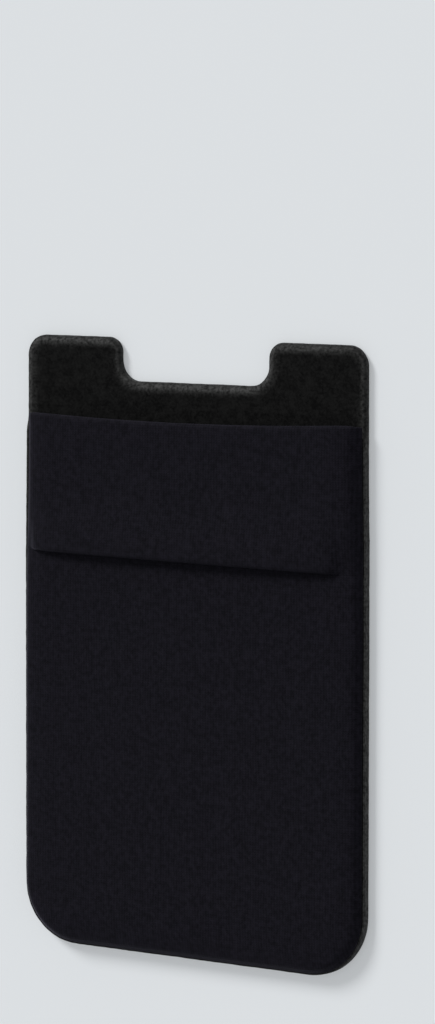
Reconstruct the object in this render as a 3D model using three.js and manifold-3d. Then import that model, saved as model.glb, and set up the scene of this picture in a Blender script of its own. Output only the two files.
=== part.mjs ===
// Stick-on card holder: a padded back panel on a sheet of adhesive, and a stretch-fabric pocket
// bonded round three sides, with its mouth turned down outside as a wide cuff.
// Millimetres. It lies on its adhesive at z = 0, +X to the right, +Y towards the thumb notch and
// +Z out of the front of the pocket. The origin is the centre of the outline.

import * as THREE from "three";
import { mergeVertices } from "three/addons/utils/BufferGeometryUtils.js";
import Module from "manifold-3d";

// Outline of the back panel
const panelLength = 88.2;
const tabWidth = 56.6;
const pocketWidth = 57.0;
const widenFrom = 33.2;
const widenTo = 10.0;
const tabCorner = 3.0;
const bottomCorner = 8.8;
const bottomSlant = 1.5;

// Thumb notch between the two tabs
const notchWidth = 24.7;
const notchDepth = 6.2;
const notchLip = 2.2;
const notchFillet = 3.0;

// Sheets, from the back to the front
const adhesiveThickness = 0.3;
const adhesiveInset = 1.5;
const panelThickness = 1.4;
const panelRim = 1.2;
const pressedRim = 0.3;
const fabricThickness = 0.45;

// Pocket. A card is 54 mm wide and 0.76 mm thick, and goes in lengthways.
const pocketInset = 0.35;
const bondWidth = 0.5;
const bondedEdge = 0.2;
const cardGap = 1.0;
const cardShoulder = 0.4;
const cavityShoulder = 0.5;
const pocketShoulder = 1.6;
const mouthEnd = 33.2;
const mouthSag = 0.8;

// Turned-down cuff at the mouth
const cuffLength = 19.8;
const cuffSlant = 1.1;
const cuffGap = 0.25;
const cuffSeal = 2.6;
const cuffInset = 0.1;
const cuffShoulder = 2.6;

// Smoothness of the curves
const curveSteps = 7;
const rimSteps = 5;
const foldSteps = 24;

// Places worked out from the sizes
const top = panelLength / 2;
const tabHalf = tabWidth / 2;
const pocketHalf = pocketWidth / 2;
const notchHalf = notchWidth / 2;
const notchFloor = top - notchDepth;
const panelBack = adhesiveThickness;
const panelFace = panelBack + panelThickness;
const pocketHeight = cardGap + fabricThickness;
const cuffHeight = pocketHeight + cuffGap + fabricThickness;
const foldRadius = (cuffHeight - cardGap) / 2;
const mouthMiddle = mouthEnd - mouthSag;
const cuffEdge = mouthMiddle - cuffLength;
const margin = 0.01;
const sliver = 0.001;
const overrun = 0.2;
const past = 5;

const wasm = await Module();
wasm.setup();

// A closed three.js geometry as a solid that can be cut and joined
function solidOf(geometry) {
  const bare = geometry.clone();
  bare.deleteAttribute("normal");
  bare.deleteAttribute("uv");
  const merged = mergeVertices(bare, 1e-4);
  return new wasm.Manifold(new wasm.Mesh({
    numProp: 3,
    vertProperties: merged.attributes.position.array,
    triVerts: merged.index.array,
  }));
}

// The surface of a solid, without the slivers that cutting leaves
function geometryOf(solid) {
  const mesh = solid.getMesh();
  const cut = new THREE.BufferGeometry();
  cut.setAttribute("position", new THREE.BufferAttribute(mesh.vertProperties, 3));
  cut.setIndex(new THREE.BufferAttribute(mesh.triVerts, 1));
  const geometry = mergeVertices(cut, sliver);
  const corners = geometry.index.array;
  const kept = [];
  for (let i = 0; i < corners.length; i += 3) {
    const [a, b, c] = corners.subarray(i, i + 3);
    if (a !== b && b !== c && c !== a) {
      kept.push(a, b, c);
    }
  }
  geometry.setIndex(kept);
  geometry.computeVertexNormals();
  return geometry;
}

// The bottom edge and the two sides, up to the height where the tabs' width is reached. The bottom
// edge falls slightly from left to right, so its corners turn a little more or less than 90 degrees.
function traceBottomAndSides(shape, inset, sideTop) {
  const half = pocketHalf - inset;
  const radius = bottomCorner - inset;
  const slant = Math.atan(bottomSlant / pocketWidth);
  const centreX = half - radius;
  const bottom = -top + inset / Math.cos(slant);
  const centreY = (x) => bottom + (radius - x * Math.sin(slant)) / Math.cos(slant);
  const down = -Math.PI / 2 - slant;
  const bend = (widenFrom - widenTo) / 3;
  shape.moveTo(-tabHalf + inset, sideTop);
  shape.lineTo(-tabHalf + inset, widenFrom);
  shape.bezierCurveTo(-tabHalf + inset, widenFrom - bend, -half, widenTo + bend, -half, widenTo);
  shape.lineTo(-half, centreY(-centreX));
  shape.absarc(-centreX, centreY(-centreX), radius, -Math.PI, down, false);
  shape.absarc(centreX, centreY(centreX), radius, down, 0, false);
  shape.lineTo(half, widenTo);
  shape.bezierCurveTo(half, widenTo + bend, tabHalf - inset, widenFrom - bend, tabHalf - inset, widenFrom);
  shape.lineTo(tabHalf - inset, sideTop);
}

// The whole outline with the two tabs and the thumb notch, set in from the edge
function panelShape(inset) {
  const shape = new THREE.Shape();
  const corner = tabCorner - inset;
  const lip = notchLip - inset;
  const fillet = notchFillet + inset;
  traceBottomAndSides(shape, inset, top - tabCorner);
  shape.absarc(tabHalf - tabCorner, top - tabCorner, corner, 0, Math.PI / 2, false);
  shape.absarc(notchHalf + notchLip, top - notchLip, lip, Math.PI / 2, Math.PI, false);
  shape.absarc(notchHalf - notchFillet, notchFloor + notchFillet, fillet, 0, -Math.PI / 2, true);
  shape.absarc(notchFillet - notchHalf, notchFloor + notchFillet, fillet, -Math.PI / 2, -Math.PI, true);
  shape.absarc(-notchHalf - notchLip, top - notchLip, lip, 0, Math.PI / 2, false);
  shape.absarc(tabCorner - tabHalf, top - tabCorner, corner, Math.PI / 2, Math.PI, false);
  return shape;
}

// The bottom and sides only, run past the mouth, where another cut ends them
function pocketShape(inset) {
  const shape = new THREE.Shape();
  traceBottomAndSides(shape, inset, mouthEnd + past);
  return shape;
}

// A plate whose upper edge is rounded off, by the given width and height of rounding. It runs on
// below z = 0, where standing() cuts it.
function roundedPlate(shape, height, roundWidth, roundHeight) {
  const extruded = new THREE.ExtrudeGeometry(shape, {
    depth: height,
    curveSegments: curveSteps,
    bevelEnabled: true,
    bevelSegments: rimSteps,
    bevelSize: roundWidth,
    bevelOffset: -roundWidth,
    bevelThickness: roundHeight,
  });
  extruded.translate(0, 0, -roundHeight);
  return solidOf(extruded);
}

// Cuts away whatever lies below z = 0
function standing(solid) {
  const ground = new THREE.BoxGeometry(2 * panelLength, 2 * panelLength, 2 * past);
  ground.translate(0, 0, -past);
  return solid.subtract(solidOf(ground));
}

// The area below the mouth's line, which sags in the middle, or below a line set back from it
function belowMouth(setBack) {
  const shape = new THREE.Shape();
  const end = mouthEnd - setBack;
  shape.moveTo(-panelLength, -panelLength);
  shape.lineTo(panelLength, -panelLength);
  shape.lineTo(panelLength, end);
  shape.lineTo(tabHalf, end);
  shape.quadraticCurveTo(0, end - 2 * mouthSag, -tabHalf, end);
  shape.lineTo(-panelLength, end);
  return shape;
}

function extrudeBetween(shape, low, high) {
  const geometry = new THREE.ExtrudeGeometry(shape, {
    depth: high - low,
    curveSegments: foldSteps,
    bevelEnabled: false,
  });
  geometry.translate(0, 0, low);
  return solidOf(geometry);
}

// What the mouth leaves standing: a half-round nose along the fold, from the inner layer's underside
// to the cuff's face, and a plain edge below it
function mouthTrim() {
  const radius = foldRadius + margin;
  const nose = new THREE.ExtrudeGeometry(belowMouth(0), {
    depth: 0,
    curveSegments: foldSteps,
    bevelEnabled: true,
    bevelSegments: rimSteps,
    bevelSize: radius,
    bevelOffset: -radius,
    bevelThickness: radius,
  });
  nose.translate(0, 0, cardGap + foldRadius);
  return solidOf(nose).add(extrudeBetween(belowMouth(radius), -past, cardGap + foldRadius));
}

// Everything above the cuff's free edge, which falls slightly from left to right
function aboveCuffEdge() {
  const block = new THREE.BoxGeometry(3 * panelLength, 3 * panelLength, panelLength);
  block.translate(0, 1.5 * panelLength, 0);
  block.rotateZ(-Math.atan(cuffSlant / pocketWidth));
  block.translate(0, cuffEdge, 0);
  return solidOf(block);
}

// The space under the free part of the cuff, up to the fold and between the sealed ends
function underCuff() {
  const block = new THREE.BoxGeometry(pocketWidth - 2 * cuffSeal, panelLength, 2 * past);
  block.translate(0, 0, pocketHeight + cuffGap - past);
  return solidOf(block).intersect(extrudeBetween(belowMouth(2 * foldRadius), -3 * past, past));
}

// The double-sided adhesive on the back
function adhesivePad() {
  return new THREE.ExtrudeGeometry(panelShape(adhesiveInset), {
    depth: adhesiveThickness,
    curveSegments: curveSteps,
    bevelEnabled: false,
  });
}

// The padded panel. Its rim is rounded off where it shows, round the tabs and the notch, and stays
// nearly square where the pocket is pressed onto it.
function backPanel() {
  const square = roundedPlate(panelShape(0), panelThickness, pressedRim, pressedRim);
  const round = roundedPlate(
    panelShape(-overrun), panelThickness + margin, panelRim + overrun, panelThickness,
  );
  const underPocket = extrudeBetween(belowMouth(foldRadius), -past, past);
  return geometryOf(standing(square.intersect(round.add(underPocket))));
}

// The pocket and its cuff, one folded sheet. It stands on the panel's face, which is z = 0 here.
function pocket() {
  const front = roundedPlate(
    pocketShape(pocketInset), pocketHeight, pocketShoulder, pocketHeight - bondedEdge,
  );
  const cuff = roundedPlate(
    pocketShape(pocketInset + cuffInset), cuffHeight, cuffShoulder, cuffHeight - bondedEdge,
  );
  const cavity = roundedPlate(
    pocketShape(pocketInset + bondWidth), cardGap, cavityShoulder, cardShoulder,
  );
  const sheet = front.add(cuff.intersect(aboveCuffEdge()).subtract(underCuff()));
  return geometryOf(standing(sheet.intersect(mouthTrim()).subtract(cavity)));
}

const adhesiveMaterial = new THREE.MeshStandardMaterial({ color: "#b9b4a6", roughness: 0.45, metalness: 0 });
const panelMaterial = new THREE.MeshStandardMaterial({ color: "#141413", roughness: 0.95, metalness: 0 });
const fabricMaterial = new THREE.MeshStandardMaterial({ color: "#1b1a20", roughness: 0.85, metalness: 0 });

function piece(name, geometry, material, height) {
  const mesh = new THREE.Mesh(geometry, material);
  mesh.name = name;
  mesh.position.z = height;
  return mesh;
}

const holder = new THREE.Group();
holder.add(piece("adhesive_pad", adhesivePad(), adhesiveMaterial, 0));
holder.add(piece("back_panel", backPanel(), panelMaterial, panelBack));
holder.add(piece("pocket", pocket(), fabricMaterial, panelFace));

export default holder;
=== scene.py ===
import math

import bpy
import numpy as np
from mathutils import Matrix, Vector, noise
from mathutils.geometry import delaunay_2d_cdt


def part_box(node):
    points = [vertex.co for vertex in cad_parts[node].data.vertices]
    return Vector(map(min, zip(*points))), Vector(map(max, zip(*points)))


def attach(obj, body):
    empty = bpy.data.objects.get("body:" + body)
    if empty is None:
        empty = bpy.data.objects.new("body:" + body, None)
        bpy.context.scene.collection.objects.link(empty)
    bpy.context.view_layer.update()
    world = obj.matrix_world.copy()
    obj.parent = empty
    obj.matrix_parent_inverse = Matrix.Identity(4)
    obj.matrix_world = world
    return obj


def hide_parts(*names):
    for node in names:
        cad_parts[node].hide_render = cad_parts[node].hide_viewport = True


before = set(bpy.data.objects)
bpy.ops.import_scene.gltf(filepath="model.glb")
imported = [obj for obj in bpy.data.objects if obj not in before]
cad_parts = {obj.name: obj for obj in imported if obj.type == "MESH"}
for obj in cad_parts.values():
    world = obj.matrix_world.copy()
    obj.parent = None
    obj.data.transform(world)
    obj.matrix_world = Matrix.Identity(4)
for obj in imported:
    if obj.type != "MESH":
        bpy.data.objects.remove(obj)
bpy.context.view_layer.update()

# The stick-on card holder lies on its adhesive at z = 0, with +Y towards the thumb notch and +Z out of
# the front of the pocket. Sizes are in millimetres, and points are turned into metres as meshes are made.
MM = 0.001

# Outline of the back panel
LENGTH = 88.2
TAB_WIDTH = 56.6
POCKET_WIDTH = 57.0
WIDEN_FROM = 33.2
WIDEN_TO = 10.0
TAB_CORNER = 3.0
BOTTOM_CORNER = 8.8
BOTTOM_SLANT = 1.5
NOTCH_WIDTH = 24.7
NOTCH_DEPTH = 6.2
NOTCH_LIP = 2.2
NOTCH_FILLET = 3.0

# Rim of the back panel. It is round where it shows and nearly square where the pocket is pressed on it.
# The tones run from the rim's wall to its face, and 1 is the palest. The rim's paleness is partly the cut
# nap's own paler colour and partly painted sheen; the dip partway round is the dark line between the panel's
# layers.
RIM_WIDTH = 1.2
RIM_HEIGHT = 0.9
PRESSED_RIM = 0.3
PRESSED_BELOW = 30.0
PRESSED_FADE = 2.6
RIM_TONES = (1.0, 1.0, 0.8, 0.55, 0.6, 0.85, 1.0, 1.0, 1.0, 0.85, 0.6, 0.35)

# Unevenness of the nap: loose pile and a slower wander round the rim, and dips and waves over the face
EDGE_FLUFF = 0.04
EDGE_WANDER = 0.03
NAP_DEPTH = 0.05
NAP_WAVE = 0.02

# Spacing of the points on the panel's face, where the nap shows and where the pocket hides it
SHOWN_STEP = 0.36
HIDDEN_STEP = 2.5
STEP_JITTER = 0.3
JITTER_SEED = 7

# Folded pocket sheet
FABRIC = 0.45
POCKET_INSET = 0.35
CUFF_INSET = 0.45
CARD_GAP = 1.0
BONDED_EDGE = 0.2
SIDE_SLOPE = 1.25
POCKET_SIDE = 0.9
CUFF_SIDE = 1.15
SWELL_WIDTH = 4.4
CROWN = 0.15
CROWN_FADE = 4.0
BROAD_RIPPLE = 0.10
FINE_RIPPLE = 0.025
LEFT_PULL = 0.1
MOUTH_PULL = 0.3
MOUTH_END = 33.2
MOUTH_SAG = 0.8

# Turned-down cuff. Its ends are sealed over a width, and its free edge is lifted and rounded.
CUFF_LENGTH = 19.5
CUFF_SLANT = 1.1
CUFF_BOND = 0.35
LEFT_SEAL = 1.6
RIGHT_SEAL = 3.2
SEAL_FADE = 1.6
CUFF_LIFT = 0.85
LIFT_MIDDLE = -1.0
LIFT_HALF = 26.5
CUFF_ROUND = 0.6
CUFF_ROUND_SHARE = 0.7

# Spacing of the sheet's points: distances of the outer columns from the edge, then the rest evenly
EDGE_COLUMNS = (0, 0.04, 0.1, 0.2, 0.34, 0.52, 0.75, 1.05, 1.4, 1.8, 2.3, 2.9, 3.6, 4.5)
MIDDLE_COLUMNS = 61
COLUMN_GAP = 0.7
ROW_STEP = 0.9

# Knit stitches
WALE = 0.44
COURSE = 0.34

# Places worked out from the sizes and the frame
TOP = LENGTH / 2
TAB_HALF = TAB_WIDTH / 2
POCKET_HALF = POCKET_WIDTH / 2
NOTCH_HALF = NOTCH_WIDTH / 2
NOTCH_FLOOR = TOP - NOTCH_DEPTH
CORNER_X = POCKET_HALF - BOTTOM_CORNER
CORNER_Y = -TOP + BOTTOM_CORNER
PANEL_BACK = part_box("back_panel")[0].z / MM
PANEL_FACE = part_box("back_panel")[1].z / MM
POCKET_HEIGHT = CARD_GAP + FABRIC
CUFF_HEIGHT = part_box("pocket")[1].z / MM - PANEL_FACE
CUFF_EDGE = MOUTH_END - MOUTH_SAG - CUFF_LENGTH
FOLD_RADIUS = (CUFF_HEIGHT - CARD_GAP) / 2
MOUTH = MOUTH_END - FOLD_RADIUS

# The photograph's camera: its place in this frame, its turns in radians, and its focal length in pixels
# of a picture 1024 high
CAMERA_PLACE = (431.67, 86.65, 679.34)
CAMERA_TURNS = (0.0830497, 0.5626692, 0.0015278)
FOCAL_PIXELS = 5707.1
PICTURE_HEIGHT = 1024
SENSOR = 36.0

# Floor, in metres, a hair below the adhesive. A share of what is seen of it is plain pale, which keeps
# its shadow faint.
FLOOR_LEVEL = -0.00002
FLOOR_HALF = 8.0
FLOOR_COLOUR = (0.755, 0.78, 0.80, 1)
FLOOR_PALE = 0.4

# Light: where each sun shines from, how many degrees wide it is, and how strong
KEY_SUN = ((-0.50, 0.74, 0.62), 20, 2.6)
FILL_SUN = ((1.2, -0.1, 0.5), 45, 0.22)
SKY_COLOUR = (0.96, 0.98, 1.0, 1)
SKY_STRENGTH = 0.42


# Camera, floor and light


def make_camera():
    data = bpy.data.cameras.new("camera")
    data.sensor_fit = "AUTO"
    data.sensor_width = SENSOR
    data.lens = FOCAL_PIXELS / PICTURE_HEIGHT * SENSOR
    data.clip_start = 0.01
    data.clip_end = 20
    about_x, about_y, about_z = CAMERA_TURNS
    turned = Matrix.Rotation(about_z, 3, "Z") @ Matrix.Rotation(about_x, 3, "X")
    turned = turned @ Matrix.Rotation(about_y, 3, "Y")
    flip = Matrix.Diagonal((1, -1, -1))
    into_picture = turned @ flip
    place = Matrix.Translation(Vector(CAMERA_PLACE) * MM)
    camera = bpy.data.objects.new("camera", data)
    camera.matrix_world = place @ (into_picture.transposed() @ flip).to_4x4()
    bpy.context.scene.collection.objects.link(camera)
    bpy.context.scene.camera = camera


def seen_directly(n):
    """1 where the camera, a reflection or a clear body looks at a surface, and 0 for the light on things."""
    path = n.add("ShaderNodeLightPath").outputs
    direct = n.math("MAXIMUM", path["Is Camera Ray"], path["Is Glossy Ray"])
    return n.math("MAXIMUM", direct, path["Is Transmission Ray"])


def floor_material():
    """A matt floor, partly plain pale to whoever looks at it. The light on things stays as it is."""
    material, tree, shader = plain_material("floor")
    shader.inputs["Base Color"].default_value = FLOOR_COLOUR
    shader.inputs["Roughness"].default_value = 0.7
    shader.inputs["Specular IOR Level"].default_value = 0.1
    n = Nodes(tree)
    pale = n.add("ShaderNodeEmission", {"Color": FLOOR_COLOUR, "Strength": 1.0})
    share = n.math("MULTIPLY", seen_directly(n), FLOOR_PALE)
    mixed = n.add("ShaderNodeMixShader", {0: share, 1: shader.outputs[0], 2: pale.outputs[0]})
    tree.links.new(mixed.outputs[0], tree.nodes["Material Output"].inputs["Surface"])
    return material


def make_floor():
    low, high = -FLOOR_HALF, FLOOR_HALF
    corners = [(low, low), (high, low), (high, high), (low, high)]
    mesh = bpy.data.meshes.new("floor")
    mesh.from_pydata([(x, y, FLOOR_LEVEL) for x, y in corners], [], [(0, 1, 2, 3)])
    mesh.materials.append(floor_material())
    floor = bpy.data.objects.new("floor", mesh)
    bpy.context.scene.collection.objects.link(floor)


def make_sun(name, place, spread, strength):
    """A far, soft lamp that shines from a place towards the origin."""
    data = bpy.data.lights.new(name, "SUN")
    data.angle = math.radians(spread)
    data.energy = strength
    lamp = bpy.data.objects.new(name, data)
    lamp.location = place
    lamp.rotation_euler = (-Vector(place)).to_track_quat("-Z", "Y").to_euler()
    bpy.context.scene.collection.objects.link(lamp)


def make_sky():
    """Even light from all round. What the camera sees past the floor is as pale as the floor."""
    world = bpy.data.worlds.new("world")
    world.use_nodes = True
    tree = world.node_tree
    n = Nodes(tree)
    light = tree.nodes["Background"]
    light.inputs["Color"].default_value = SKY_COLOUR
    light.inputs["Strength"].default_value = SKY_STRENGTH
    seen = n.add("ShaderNodeBackground", {"Color": FLOOR_COLOUR, "Strength": 1.0})
    mixed = n.add("ShaderNodeMixShader", {0: seen_directly(n), 1: light.outputs[0], 2: seen.outputs[0]})
    tree.links.new(mixed.outputs[0], tree.nodes["World Output"].inputs["Surface"])
    bpy.context.scene.world = world


def light_scene():
    make_sun("key", *KEY_SUN)
    make_sun("fill", *FILL_SUN)
    make_sky()
    bpy.context.scene.view_settings.view_transform = "Standard"


# Materials


def plain_material(name):
    material = bpy.data.materials.new(name)
    material.use_nodes = True
    return material, material.node_tree, material.node_tree.nodes["Principled BSDF"]


class Nodes:
    """Adds nodes to a material, each from its kind, its settings and what goes into its sockets."""

    def __init__(self, tree):
        self.tree = tree

    def add(self, kind, inputs=None, **settings):
        node = self.tree.nodes.new(kind)
        for key, value in settings.items():
            setattr(node, key, value)
        for key, value in (inputs or {}).items():
            self.fill(node.inputs[key], value)
        return node

    def fill(self, socket, value):
        """Links a socket to another node's output, or gives it a value."""
        if isinstance(value, bpy.types.NodeSocket):
            self.tree.links.new(value, socket)
        else:
            socket.default_value = value

    def math(self, operation, *values):
        return self.add("ShaderNodeMath", dict(enumerate(values)), operation=operation).outputs[0]

    def weighted(self, *parts):
        """The sum of values, each times its weight."""
        products = [self.math("MULTIPLY", value, weight) for value, weight in parts]
        total = products[0]
        for product in products[1:]:
            total = self.math("ADD", total, product)
        return total

    def noise(self, vector, scale, detail=3.0, roughness=0.5):
        inputs = {"Vector": vector, "Scale": scale, "Detail": detail, "Roughness": roughness}
        return self.add("ShaderNodeTexNoise", inputs).outputs["Fac"]

    def ramp(self, factor, low, high, from_value, to_value):
        """A colour that runs from low to high as the factor runs between two values."""
        inputs = {"Value": factor, "From Min": from_value, "From Max": to_value}
        share = self.add("ShaderNodeMapRange", inputs).outputs["Result"]
        return self.mix(share, low, high)

    def mix(self, factor, low, high):
        node = self.add("ShaderNodeMix", data_type="RGBA")
        for name, value in (("Factor_Float", factor), ("A_Color", low), ("B_Color", high)):
            self.fill(next(s for s in node.inputs if s.identifier == name), value)
        return next(s for s in node.outputs if s.identifier == "Result_Color")

    def bump(self, height, distance, strength):
        inputs = {"Height": height, "Distance": distance, "Strength": strength}
        return self.add("ShaderNodeBump", inputs).outputs["Normal"]


def knit_pattern(n, place):
    """Height of the knit: columns of small slanted stitches that wander a little."""
    slant = 1.3
    depth = 0.22
    apart = n.add("ShaderNodeSeparateXYZ", {0: place}).outputs
    wander = n.math("MULTIPLY", n.math("SUBTRACT", n.noise(place, 220), 0.5), 7.0)
    across = n.math("ADD", n.math("MULTIPLY", apart["X"], 2 * math.pi / (WALE * MM)), wander)
    along = n.math("ADD", n.math("MULTIPLY", apart["Y"], 2 * math.pi / (COURSE * MM)), wander)
    column = n.math("SINE", across)
    stitch = n.math("SINE", n.math("ADD", along, n.math("MULTIPLY", column, slant)))
    return n.math("ADD", n.weighted((column, depth), (stitch, depth)), 0.5)


def fabric_material():
    """Fine black stretch knit, with slight unevenness in the yarn and in how far it is drawn out."""
    dark = (0.0009, 0.0007, 0.0020, 1)
    pale = (0.0067, 0.0060, 0.0098, 1)
    drawn_out = (1.0, 0.65, 1.0)
    material, tree, shader = plain_material("stretch_knit")
    n = Nodes(tree)
    place = n.add("ShaderNodeTexCoord").outputs["Object"]
    knit = knit_pattern(n, place)
    yarn = n.noise(place, 1600, 2.0)
    stretched = n.add("ShaderNodeVectorMath", {0: place, 1: drawn_out}, operation="MULTIPLY").outputs[0]
    patches = n.noise(stretched, 1150, 2.0)
    tone = n.weighted((yarn, 0.52), (knit, 0.2), (patches, 0.28))
    height = n.math("ADD", knit, n.math("MULTIPLY", yarn, 0.8))
    tree.links.new(n.ramp(tone, dark, pale, 0.36, 0.65), shader.inputs["Base Color"])
    tree.links.new(n.bump(height, 0.00005, 0.5), shader.inputs["Normal"])
    shader.inputs["Roughness"].default_value = 0.85
    shader.inputs["Specular IOR Level"].default_value = 0.08
    shader.inputs["Sheen Weight"].default_value = 0.08
    shader.inputs["Sheen Roughness"].default_value = 0.4
    shader.inputs["Sheen Tint"].default_value = (0.75, 0.7, 0.95, 1)
    return material


def nap_material():
    """Brushed black nap, darker and mottled on the flat, and paler and speckled on the rim, where the cut
    nap's own paler colour is mixed with painted sheen and with painted light and shade by the way the rim
    faces.
    """
    flat_dark = (0.0001, 0.0001, 0.0001, 1)
    flat_pale = (0.0062, 0.0062, 0.0060, 1)
    cut_dark_and_painted_sheen = (0.014, 0.014, 0.0137, 1)
    cut_pale_and_painted_sheen = (0.072, 0.072, 0.0706, 1)
    material, tree, shader = plain_material("brushed_nap")
    n = Nodes(tree)
    place = n.add("ShaderNodeTexCoord").outputs["Object"]
    mottle = n.noise(place, 760, 3.0, 0.6)
    fluff = n.noise(place, 2400, 2.0, 0.6)
    tone = n.weighted((mottle, 0.5), (fluff, 0.5))
    speckle = n.weighted((mottle, 0.25), (fluff, 0.75))
    flat = n.ramp(tone, flat_dark, flat_pale, 0.39, 0.62)
    # The rim's colours are the cut nap's paler colour, raised further as painted sheen.
    cut = n.ramp(speckle, cut_dark_and_painted_sheen, cut_pale_and_painted_sheen, 0.36, 0.64)
    # The rim attribute also carries painted light and shade by the way each part of the rim faces.
    rim = n.add("ShaderNodeAttribute", attribute_name="rim").outputs["Fac"]
    tree.links.new(n.mix(rim, flat, cut), shader.inputs["Base Color"])
    tree.links.new(n.bump(tone, 0.00012, 0.6), shader.inputs["Normal"])
    shader.inputs["Roughness"].default_value = 0.95
    shader.inputs["Specular IOR Level"].default_value = 0.05
    shader.inputs["Sheen Weight"].default_value = 0.06
    shader.inputs["Sheen Roughness"].default_value = 0.5
    return material


def adhesive_material():
    """Pale tacky acrylic, faintly mottled where it takes the nap's print."""
    dark = (0.40, 0.385, 0.335, 1)
    pale = (0.56, 0.545, 0.49, 1)
    material, tree, shader = plain_material("tacky_acrylic")
    n = Nodes(tree)
    place = n.add("ShaderNodeTexCoord").outputs["Object"]
    print_through = n.noise(place, 700, 4.0, 0.6)
    cloud = n.noise(place, 60, 2.0)
    tone = n.weighted((print_through, 0.5), (cloud, 0.5))
    tree.links.new(n.ramp(tone, dark, pale, 0.3, 0.7), shader.inputs["Base Color"])
    tree.links.new(n.bump(print_through, 0.00006, 0.5), shader.inputs["Normal"])
    shader.inputs["Roughness"].default_value = 0.32
    shader.inputs["Coat Weight"].default_value = 0.25
    shader.inputs["Coat Roughness"].default_value = 0.2
    return material


# Shape helpers


def ease(share):
    """Runs smoothly from 0 to 1 as share does."""
    share = np.clip(share, 0, 1)
    return share * share * (3 - 2 * share)


def arc(centre, radius, start, stop, steps):
    angles = np.radians(np.linspace(start, stop, steps + 1))
    return [(centre[0] + radius * math.cos(a), centre[1] + radius * math.sin(a)) for a in angles]


def between(start, stop, steps):
    """The points between two ends, without the ends."""
    return [
        (start[0] + (stop[0] - start[0]) * i / steps, start[1] + (stop[1] - start[1]) * i / steps)
        for i in range(1, steps)
    ]


def half_width(y):
    """Half the panel's width at a height above the bottom corners."""
    share = ease((WIDEN_FROM - np.asarray(y, float)) / (WIDEN_FROM - WIDEN_TO))
    return TAB_HALF + (POCKET_HALF - TAB_HALF) * share


def half_outline(inset, side):
    """The outline from the middle of the bottom edge to the middle of the notch, on one side."""
    slant = math.atan(BOTTOM_SLANT / POCKET_WIDTH) * side
    centre = (CORNER_X, -TOP + (BOTTOM_CORNER - CORNER_X * math.sin(slant)) / math.cos(slant))
    corner = arc(centre, BOTTOM_CORNER - inset, -90 - math.degrees(slant), 0, 24)
    middle = (0, -TOP + inset / math.cos(slant))
    widen = [(half_width(y) - inset, y) for y in np.linspace(WIDEN_TO, WIDEN_FROM, 31)]
    tab = arc((TAB_HALF - TAB_CORNER, TOP - TAB_CORNER), TAB_CORNER - inset, 0, 90, 12)
    lip = arc((NOTCH_HALF + NOTCH_LIP, TOP - NOTCH_LIP), NOTCH_LIP - inset, 90, 180, 10)
    fillet_centre = (NOTCH_HALF - NOTCH_FILLET, NOTCH_FLOOR + NOTCH_FILLET)
    fillet = arc(fillet_centre, NOTCH_FILLET + inset, 0, -90, 10)
    floor_middle = (0, NOTCH_FLOOR - inset)
    points = [middle, *between(middle, corner[0], 30), *corner, *between(corner[-1], widen[0], 60)]
    points += [*widen, *between(widen[-1], tab[0], 12), *tab, *between(tab[-1], lip[0], 14), *lip]
    points += [*between(lip[-1], fillet[0], 2), *fillet, *between(fillet[-1], floor_middle, 14), floor_middle]
    return [(x * side, y) for x, y in points]


def outline(inset):
    """The whole outline, set in from the edge, with as many points for every inset."""
    right, left = half_outline(inset, 1), half_outline(inset, -1)
    return np.array(right + left[-2:0:-1])


def outward_of(loop):
    """Unit vectors that point out of a loop at each of its points."""
    along = np.roll(loop, -1, axis=0) - np.roll(loop, 1, axis=0)
    outward = np.stack([along[:, 1], -along[:, 0]], axis=1)
    return outward / np.linalg.norm(outward, axis=1, keepdims=True)


def inside(point, polygon):
    """Whether a point lies inside a closed outline."""
    x, y = point
    x0, y0 = polygon[:, 0], polygon[:, 1]
    x1, y1 = np.roll(x0, -1), np.roll(y0, -1)
    spans = (y0 > y) != (y1 > y)
    cut = x0[spans] + (y - y0[spans]) / (y1[spans] - y0[spans]) * (x1[spans] - x0[spans])
    return bool(np.count_nonzero(cut > x) % 2)


def wobble(x, y, z, size):
    """Smooth noise from about -1 to 1, with features of the given size."""
    return noise.noise(Vector((x / size, y / size, z / size)))


def strip(first, second, closed):
    """Quads between two rows of point numbers."""
    count = len(first)
    last = count if closed else count - 1
    return [(first[i], first[(i + 1) % count], second[(i + 1) % count], second[i]) for i in range(last)]


def cap(loop_points, first, extra):
    """Triangles over a loop with extra points inside it. The loop's points have the numbers from first."""
    count = len(loop_points)
    points = [Vector(p) for p in loop_points] + [Vector(p) for p in extra]
    edges = [(i, (i + 1) % count) for i in range(count)]
    _, _, triangles, origins, _, _ = delaunay_2d_cdt(points, edges, [], 1, 1e-6)
    number = [o[0] for o in origins]
    return [tuple(number[i] + first for i in t) for t in triangles]


def make_object(name, points, faces, material, smooth_angle=None):
    mesh = bpy.data.meshes.new(name)
    mesh.from_pydata((np.asarray(points, float) * MM).tolist(), [], faces)
    mesh.validate()
    mesh.polygons.foreach_set("use_smooth", [True] * len(mesh.polygons))
    if smooth_angle is not None:
        mesh.set_sharp_from_angle(angle=math.radians(smooth_angle))
    mesh.materials.append(material)
    piece = bpy.data.objects.new(name, mesh)
    bpy.context.scene.collection.objects.link(piece)
    return piece


# Back panel


def rim_loop(turn):
    """A loop round the rim, from its wall at no turn to its face at 90 degrees, with its heights."""
    out, up = 1 - math.cos(turn), 1 - math.sin(turn)
    shown, pressed = outline(RIM_WIDTH * out), outline(PRESSED_RIM * out)
    share = ease((pressed[:, 1] - PRESSED_BELOW) / PRESSED_FADE)
    loop = pressed + (shown - pressed) * share[:, None]
    return loop, PANEL_FACE - (PRESSED_RIM + (RIM_HEIGHT - PRESSED_RIM) * share) * up


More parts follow.
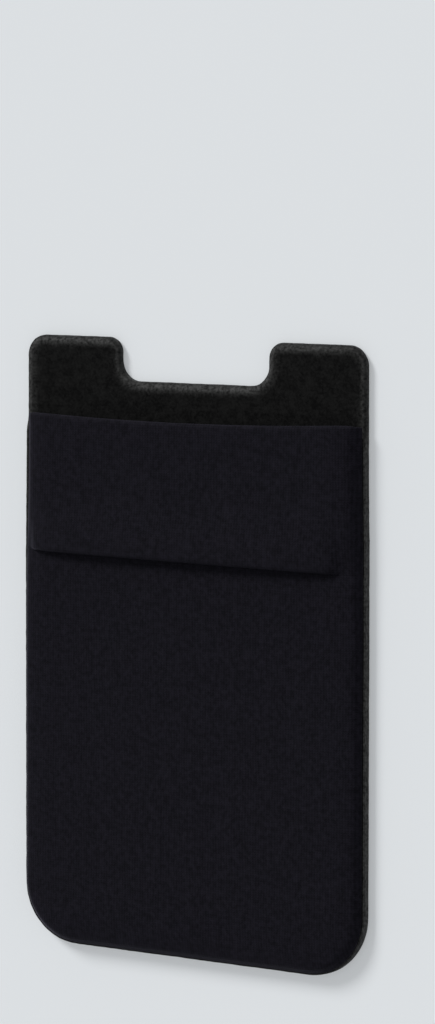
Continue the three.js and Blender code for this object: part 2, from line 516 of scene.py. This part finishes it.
def rim_loops(edge, narrower_in_painted_shade):
    """The loops from the panel's back to its face, each with its heights and how pale it is. Towards the face
    the paleness is cut back on edges that face right, as painted shade.
    """
    back = np.full(len(edge), PANEL_BACK)
    even = np.ones(len(edge))
    loops = [(outline(0.12), back, 0.9 * even), (outline(0.03), back + 0.05, even), (edge, back + 0.2, even)]
    for step, tone in enumerate(RIM_TONES):
        loop, heights = rim_loop(math.radians(90 * step / (len(RIM_TONES) - 1)))
        loops.append((loop, heights, tone * (1 + (narrower_in_painted_shade - 1) * ease((step - 6) / 3))))
    return loops


def rim_tone_and_painted_light(edge, outward):
    """How pale the rim is round the outline, by the way that each part of it faces: painted light and shade
    over the cut nap's own paleness.
    """
    across, along = outward[:, 0], outward[:, 1]
    on_tab = ease((edge[:, 1] - PRESSED_BELOW) / PRESSED_FADE)
    along_right_tab = ease((edge[:, 0] - NOTCH_HALF) / (TAB_HALF - NOTCH_HALF))
    # Painted light and shade: darkest where the rim faces down, paler on the sides below the tabs, and dimmer
    # along the right tab.
    paleness_and_painted_light = np.where(along > 0, 0.7 + 0.1 * along, 0.7 + 0.4 * along)
    paleness_and_painted_light += 0.22 * np.clip(across, 0, 1) * (1 - 1.5 * on_tab)
    paleness_and_painted_light += 0.28 * np.clip(-across, 0, 1) * (1 - on_tab)
    paleness_and_painted_light -= 0.24 * np.clip(along, 0, 1) * along_right_tab
    return paleness_and_painted_light


def fluffed(x, y, height, out_x, out_y):
    """A point of the rim, moved a little in or out and down, as the nap's pile is uneven."""
    push = EDGE_FLUFF * wobble(x, y, height, 0.8) + EDGE_WANDER * wobble(x, y, 7, 5) - 0.02
    level = (height - PANEL_BACK) / (PANEL_FACE - PANEL_BACK)
    sink = EDGE_FLUFF * level * (wobble(x, y, height + 9, 0.7) - 1)
    return x + out_x * push, y + out_y * push, height + sink


def face_points(inner):
    """Points over the panel's face: close together where the nap shows, and wide apart under the pocket."""
    rng = np.random.default_rng(JITTER_SEED)
    shown_from = MOUTH_END - 4
    found = []
    for low, high, step in ((-TOP, shown_from, HIDDEN_STEP), (shown_from, TOP, SHOWN_STEP)):
        for y in np.arange(low, high, step):
            for x in np.arange(-POCKET_HALF, POCKET_HALF, step):
                jitter = (rng.uniform(-STEP_JITTER, STEP_JITTER), rng.uniform(-STEP_JITTER, STEP_JITTER))
                point = (x + jitter[0] * step, y + jitter[1] * step)
                if inside(point, inner):
                    found.append(point)
    return found


def make_panel():
    edge = outline(0)
    outward = outward_of(edge)
    paleness_and_painted_light = rim_tone_and_painted_light(edge, outward)
    # Painted light and shade on the rim: less pale towards the face on edges facing right, away from the
    # light, and a pale band spreading further onto the face on edges facing left, towards it.
    narrower_in_painted_shade = 1 - 0.8 * np.clip(outward[:, 0], 0, 1)
    wide = np.clip(-outward[:, 0], 0, 1)

    points, faces, rim, rows = [], [], [], []
    for loop, heights, shares in rim_loops(edge, narrower_in_painted_shade):
        rows.append(list(range(len(points), len(points) + len(loop))))
        points += [fluffed(x, y, z, *out) for (x, y), z, out in zip(loop, heights, outward)]
        rim += list(shares * paleness_and_painted_light)
    for below, above in zip(rows, rows[1:]):
        faces += strip(below, above, True)
    faces += [t[::-1] for t in cap([p[:2] for p in points[: len(edge)]], 0, [])]

    top_first = rows[-1][0]
    extra = face_points(outline(RIM_WIDTH + 0.3))
    faces += cap([p[:2] for p in points[top_first:]], top_first, extra)
    for x, y in extra:
        gaps = np.hypot(edge[:, 0] - x, edge[:, 1] - y)
        nearest = int(gaps.argmin())
        shown = float(ease((y - MOUTH_END + 3) / 2))
        nap = NAP_DEPTH * (wobble(x, y, 3, 0.8) - 1) + NAP_WAVE * wobble(x, y, 6, 2.4)
        fade = float(1 - ease((gaps[nearest] - RIM_WIDTH) / (0.35 + wide[nearest])))
        points.append((x, y, PANEL_FACE + nap * shown))
        rim.append(RIM_TONES[-1] * paleness_and_painted_light[nearest] * narrower_in_painted_shade[nearest] * fade)

    piece = make_object("padded_panel", points, faces, nap_material())
    # The rim attribute holds the cut nap's own paleness together with painted sheen and painted light and
    # shade, fading onto the face.
    piece.data.attributes.new("rim", "FLOAT", "POINT").data.foreach_set("value", rim)
    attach(piece, "root")
    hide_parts("back_panel")


# Pocket and cuff


def reach(y, inset):
    """How far the sheet reaches to each side at a height, set in from the panel's outline."""
    y = np.asarray(y, float)
    below = np.clip(CORNER_Y - y, 0, BOTTOM_CORNER - inset)
    round_end = CORNER_X + np.sqrt(np.maximum((BOTTOM_CORNER - inset) ** 2 - below**2, 0))
    return np.where(y < CORNER_Y, round_end, half_width(y) - inset)


def from_edge(x, y, inset):
    """Distance from the sheet's bonded edge."""
    radius = BOTTOM_CORNER - inset
    beside = np.abs(x) - CORNER_X
    below = CORNER_Y - y
    to_side = reach(y, inset) - np.abs(x)
    to_bottom = radius - below
    to_corner = radius - np.hypot(beside, below)
    low = np.where(beside > 0, to_corner, to_bottom)
    return np.maximum(np.where(below > 0, low, to_side), 0)


def rise(distance, low, side, high):
    """Height of the sheet at a distance from its bonded edge: a steep side, then a gentle swell."""
    climb = distance * SIDE_SLOPE / side
    swell = 1 - (1 - np.clip((distance - 0.3) / SWELL_WIDTH, 0, 1)) ** 2
    return low + side * climb / (1 + climb**4) ** 0.25 + (high - low - side) * swell


def ripples(x, y):
    """The slight unevenness of stretched fabric."""
    broad = [wobble(a, b, 1, 22) for a, b in zip(x, y)]
    fine = [wobble(a * 1.6, b * 0.7, 5, 5) for a, b in zip(x, y)]
    return BROAD_RIPPLE * np.array(broad) + FINE_RIPPLE * np.array(fine)


def columns(y, inset):
    """Places across the sheet at a height, closest together near its two edges."""
    half = float(reach(y, inset))
    left = [-half + d for d in EDGE_COLUMNS]
    middle = np.linspace(-1, 1, MIDDLE_COLUMNS) * (half - EDGE_COLUMNS[-1] - COLUMN_GAP)
    return np.array(left + list(middle) + [-x for x in left[::-1]])


def mouth_sag(x):
    """How far the mouth sags at a place across it."""
    return -MOUTH_SAG * (1 - (x / TAB_HALF) ** 2)


def bend_line(x, y):
    """Moves a row to follow the slanting bottom edge and the sagging mouth."""
    bottom = -x / POCKET_WIDTH * BOTTOM_SLANT * (1 - ease((y - CORNER_Y) / -CORNER_Y))
    return y + bottom + mouth_sag(x) * ease(y / MOUTH)


def pull_in(x, y):
    """Draws the left edge in a little, most of all at the mouth, where the doubled sheet is tightest."""
    return x + (LEFT_PULL + MOUTH_PULL * ease((y - 4) / 18)) * ease((-x - 21) / 6)


def front_heights(x, row):
    """Heights of the front layer over the panel's face: its outer side and its inner one."""
    edge = from_edge(x, row, POCKET_INSET)
    crown = CROWN * (1 - (x / POCKET_HALF) ** 2) + ripples(x, row)
    face = rise(edge, BONDED_EDGE, POCKET_SIDE, POCKET_HEIGHT) + crown * ease(edge / CROWN_FADE)
    return face, np.maximum(face - FABRIC, 0) * ease(edge / 0.3)


def cuff_heights(x, row, share):
    """Heights of the cuff's outer side and its inner one, at a share of the way down to its free edge."""
    front, _ = front_heights(x, row)
    edge = from_edge(x, row, CUFF_INSET)
    own = ripples(x, row + 60) - ripples(x, row)
    crown = CROWN * (1 - (x / POCKET_HALF) ** 2) + ripples(x, row) + 0.7 * own * ease(share * 3)
    free = np.clip(1 - np.abs((x - LIFT_MIDDLE) / LIFT_HALF) ** 5, 0, 1)
    lift = CUFF_LIFT * free * ease((share - 0.5) / 0.5)
    face = rise(edge, CUFF_BOND, CUFF_SIDE, CUFF_HEIGHT) + crown * ease(edge / CROWN_FADE) + lift

    seal = np.where(x < 0, LEFT_SEAL, RIGHT_SEAL)
    pressed = (1 - ease((edge - seal + SEAL_FADE / 2) / SEAL_FADE)) * ease((share - 0.7) / 0.3)
    face = face + (np.minimum(face, front + 0.06) - face) * pressed
    under = np.maximum(face - FABRIC, front + 0.01)

    near = np.clip(1 - (1 - share) * (MOUTH - CUFF_EDGE) / CUFF_ROUND, 0, 1)
    rounded = face - CUFF_ROUND_SHARE * FABRIC * (1 - math.sqrt(1 - near**2))
    return np.maximum(rounded, under + 0.04), under


def front_rows():
    """The front layer's rows from the bonded bottom edge to the mouth, each with its two sides' points."""
    radius = BOTTOM_CORNER - POCKET_INSET
    corner = [CORNER_Y - radius * math.cos(math.radians(a)) for a in np.linspace(1.5, 90, 40)]
    for y in [*corner, *np.arange(CORNER_Y + ROW_STEP, MOUTH - 0.4, ROW_STEP)]:
        x = columns(y, POCKET_INSET)
        row = np.full_like(x, y)
        face, under = front_heights(x, row)
        placed = bend_line(x, row)
        yield np.stack([x, placed, under], axis=1), np.stack([x, placed, face], axis=1)


def fold_rows():
    """The rows of the half turn at the mouth, from the front layer out to the cuff."""
    x = columns(MOUTH, POCKET_INSET)
    row = np.full_like(x, MOUTH)
    front_face, front_under = front_heights(x, row)
    cuff_face, cuff_under = cuff_heights(x, row, 0)
    placed = bend_line(x, row)
    for turn in np.radians(np.linspace(-90, 90, 15)):
        sides = []
        for high, low in ((cuff_face, front_under), (cuff_under, front_face)):
            radius = (high - low) / 2
            nose = placed + radius * math.cos(turn)
            sides.append(np.stack([x, nose, (high + low) / 2 + radius * math.sin(turn)], axis=1))
        yield sides


def cuff_rows():
    """The cuff's rows from the fold down to its free edge, closest together where that edge is rounded."""
    for share in [*np.linspace(0, 0.96, 34)[1:], *np.linspace(0.97, 1, 8)]:
        y = MOUTH + (CUFF_EDGE - MOUTH) * share
        x = columns(y, POCKET_INSET + (CUFF_INSET - POCKET_INSET) * min(1, share * 4))
        row = np.full_like(x, y)
        face, under = cuff_heights(x, row, share)
        placed = row + mouth_sag(x) * (1 - share) - x / POCKET_WIDTH * CUFF_SLANT * share
        yield np.stack([x, placed, face], axis=1), np.stack([x, placed, under], axis=1)


def close_edge(points, first, second, push):
    """Closes the sheet between two rows of points with a slightly rounded cut edge."""
    middle = list(range(len(points), len(points) + len(first)))
    points += [(points[a] + points[b]) / 2 + push for a, b in zip(first, second)]
    return strip(list(first), middle, False) + strip(middle, list(second), False)


def sheet_surface(inner, outer):
    """Points and faces of a sheet from the rows of its two sides, closed round its edges."""
    rows, count = inner.shape[:2]
    points = [*inner.reshape(-1, 3), *outer.reshape(-1, 3)]
    inner_numbers = np.arange(rows * count).reshape(rows, count)
    outer_numbers = inner_numbers + rows * count
    faces = []
    for row in range(rows - 1):
        faces += [f[::-1] for f in strip(list(inner_numbers[row]), list(inner_numbers[row + 1]), False)]
        faces += strip(list(outer_numbers[row]), list(outer_numbers[row + 1]), False)
    faces += close_edge(points, inner_numbers[0], outer_numbers[0], np.array([0, -0.05, 0]))
    faces += close_edge(points, outer_numbers[-1], inner_numbers[-1], np.array([0, -0.12, 0]))
    faces += close_edge(points, inner_numbers[:, -1], outer_numbers[:, -1], np.array([0.04, 0, 0]))
    faces += close_edge(points, outer_numbers[:, 0], inner_numbers[:, 0], np.array([-0.04, 0, 0]))
    return points, [tuple(int(i) for i in f) for f in faces]


def make_pocket():
    """The pocket, one sheet folded outwards at the mouth. Its inner side turns out to be the cuff's face."""
    inner, outer = np.array([*front_rows(), *fold_rows(), *cuff_rows()]).transpose(1, 0, 2, 3)
    for side in (inner, outer):
        side[:, :, 0] = pull_in(side[:, :, 0], side[:, :, 1])
        side[:, :, 2] += PANEL_FACE
    points, faces = sheet_surface(inner, outer)
    piece = make_object("folded_pocket", points, faces, fabric_material(), 50)
    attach(piece, "root")
    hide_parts("pocket")


def dress_adhesive():
    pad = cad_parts["adhesive_pad"]
    pad.data.materials.clear()
    pad.data.materials.append(adhesive_material())


make_camera()
make_floor()
light_scene()
make_panel()
make_pocket()
dress_adhesive()

bpy.context.view_layer.update()
